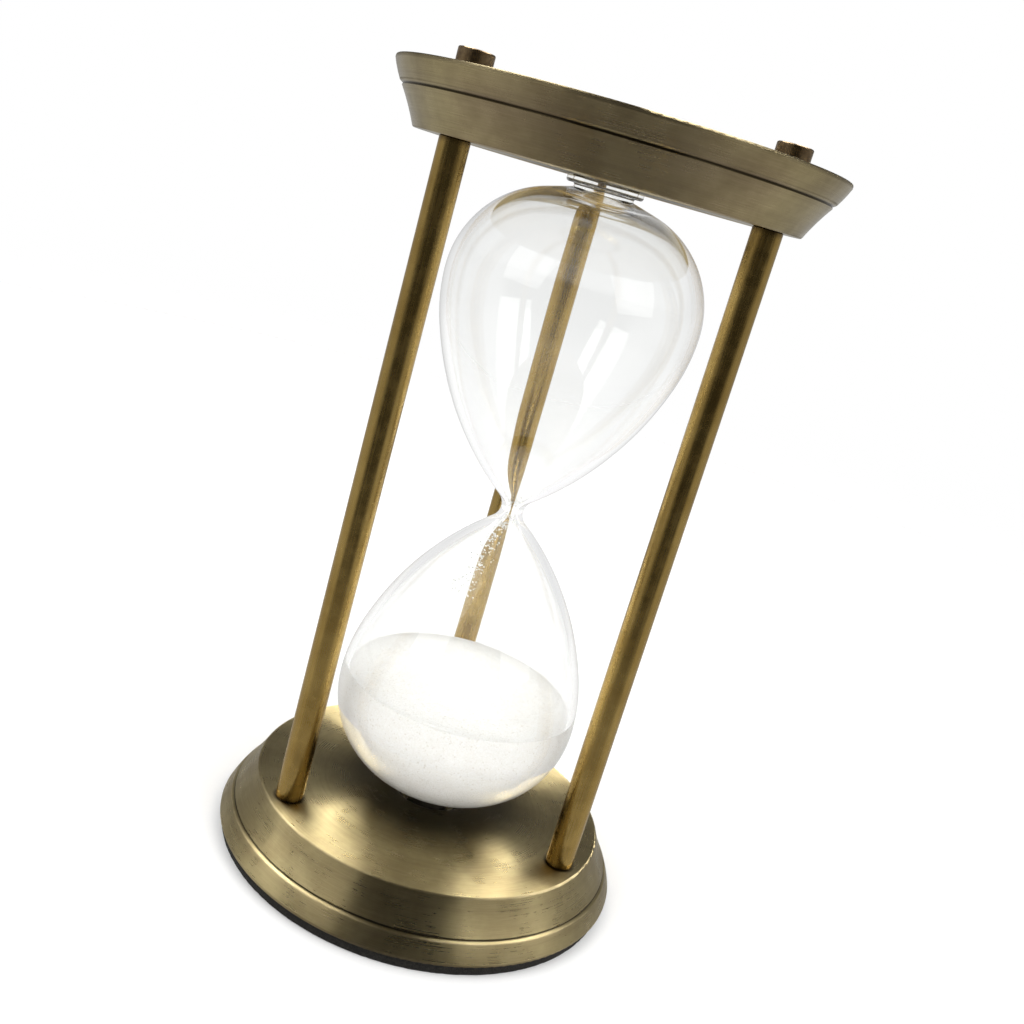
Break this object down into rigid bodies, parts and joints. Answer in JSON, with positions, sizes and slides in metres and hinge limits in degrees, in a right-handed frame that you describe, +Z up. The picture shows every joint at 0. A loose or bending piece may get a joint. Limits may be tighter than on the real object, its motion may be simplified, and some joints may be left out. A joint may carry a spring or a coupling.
{
  "type": "hourglass",
  "caption": "Sand glass: a blown two-bulb vessel of white sand held between two turned brass ends by round posts with unscrewing cap nuts.",
  "frame": {"origin": "centre of the underside of the base pad, which stands on the table", "axes": "+Z up along the glass's axis; the rear post is towards +Y and the other two are towards -Y, one each side of X = 0"},
  "size_m": [0.1119, 0.1118, 0.2072],
  "materials": {
    "end_brass": "satin, turned, aged",
    "post_brass": "satin, drawn, aged",
    "stud_brass": "machined",
    "nut_bronze": "dark, turned",
    "zinc_steel": "zinc plated",
    "clear_glass": "clear, fire polished",
    "cork": "pressed cork",
    "white_sand": "fine, dry, matt",
    "pad_felt": "matt black felt"
  },
  "bodies": {
    "frame": {"base_disc": "end_brass", "base_shell": "end_brass", "top_shell": "end_brass", "top_disc": "end_brass", "lower_seat_ring": "cork", "upper_seat_ring": "cork", "glass_vessel": "clear_glass", "filling_stopper": "cork", "sand": "white_sand", "base_pad": "pad_felt", "front_left_post": "post_brass", "front_left_stud": "stud_brass", "front_left_base_screw": "zinc_steel", "front_left_spring_washer": "zinc_steel", "front_right_post": "post_brass", "front_right_stud": "stud_brass", "front_right_base_screw": "zinc_steel", "front_right_spring_washer": "zinc_steel", "rear_post": "post_brass", "rear_stud": "stud_brass", "rear_base_screw": "zinc_steel", "rear_spring_washer": "zinc_steel"},
    "front_left_washer": {"front_left_nut_washer": "stud_brass"},
    "front_left_nut": {"front_left_cap_nut": "nut_bronze"},
    "front_right_washer": {"front_right_nut_washer": "stud_brass"},
    "front_right_nut": {"front_right_cap_nut": "nut_bronze"},
    "rear_washer": {"rear_nut_washer": "stud_brass"},
    "rear_nut": {"rear_cap_nut": "nut_bronze"}
  },
  "joints": [
    {"name": "front_left_nut_lift", "type": "slide", "parent": "frame", "child": "front_left_washer", "axis": [0, 0, 1], "range_m": [0, 0.0028]},
    {"name": "front_left_nut_turn", "type": "hinge", "parent": "front_left_washer", "child": "front_left_nut", "pos_m": [-0.03681, -0.02125, 0.2035], "axis": [0, 0, 1], "range_deg": [0, 1440]},
    {"name": "front_right_nut_lift", "type": "slide", "parent": "frame", "child": "front_right_washer", "axis": [0, 0, 1], "range_m": [0, 0.0028]},
    {"name": "front_right_nut_turn", "type": "hinge", "parent": "front_right_washer", "child": "front_right_nut", "pos_m": [0.03681, -0.02125, 0.2035], "axis": [0, 0, 1], "range_deg": [0, 1440]},
    {"name": "rear_nut_lift", "type": "slide", "parent": "frame", "child": "rear_washer", "axis": [0, 0, 1], "range_m": [0, 0.0028]},
    {"name": "rear_nut_turn", "type": "hinge", "parent": "rear_washer", "child": "rear_nut", "pos_m": [0, 0.0425, 0.2035], "axis": [0, 0, 1], "range_deg": [0, 1440]}
  ],
  "couplings": [
    {"joint": "front_left_nut_turn", "follows": "front_left_nut_lift", "rad_per_m": 8975},
    {"joint": "front_right_nut_turn", "follows": "front_right_nut_lift", "rad_per_m": 8975},
    {"joint": "rear_nut_turn", "follows": "rear_nut_lift", "rad_per_m": 8975}
  ]
}
